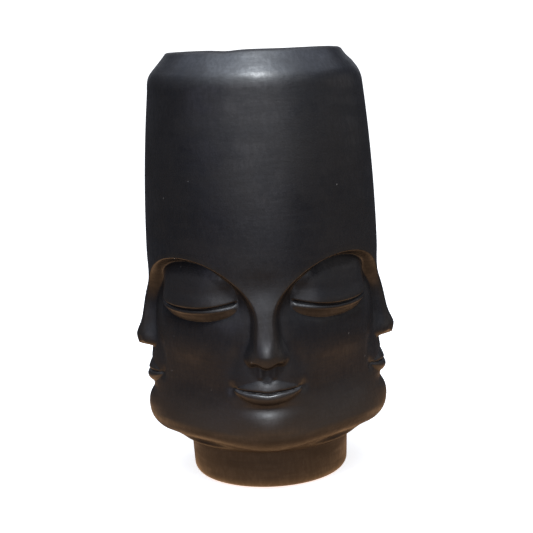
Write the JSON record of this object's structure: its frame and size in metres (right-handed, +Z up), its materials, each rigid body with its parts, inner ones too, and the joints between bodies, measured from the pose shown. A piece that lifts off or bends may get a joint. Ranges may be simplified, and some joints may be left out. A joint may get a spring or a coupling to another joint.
{
  "type": "ceramic vase",
  "caption": "Tall glazed ceramic vase: calm relief faces that share their eyes run round its lower half, under a plain tapering wall with a bevelled mouth; it stands on a short foot ring.",
  "frame": {"origin": "centre of the foot's standing face", "axes": "+Z up along the vase's axis; -Y is the way the front nose looks, and +X is to its right as seen"},
  "size_m": [0.1852, 0.1852, 0.3],
  "materials": {
    "black_glaze": "satin",
    "inner_glaze": "gloss",
    "bare_clay": "matte"
  },
  "bodies": {
    "root": {"foot_ring": "black_glaze", "face_front": "black_glaze", "face_right": "black_glaze", "face_back": "black_glaze", "face_left": "black_glaze", "upper_wall": "black_glaze", "shoulder_ring": "black_glaze", "rim_lip": "black_glaze", "floor_disc": "bare_clay", "glaze_lining": "inner_glaze"}
  },
  "joints": []
}
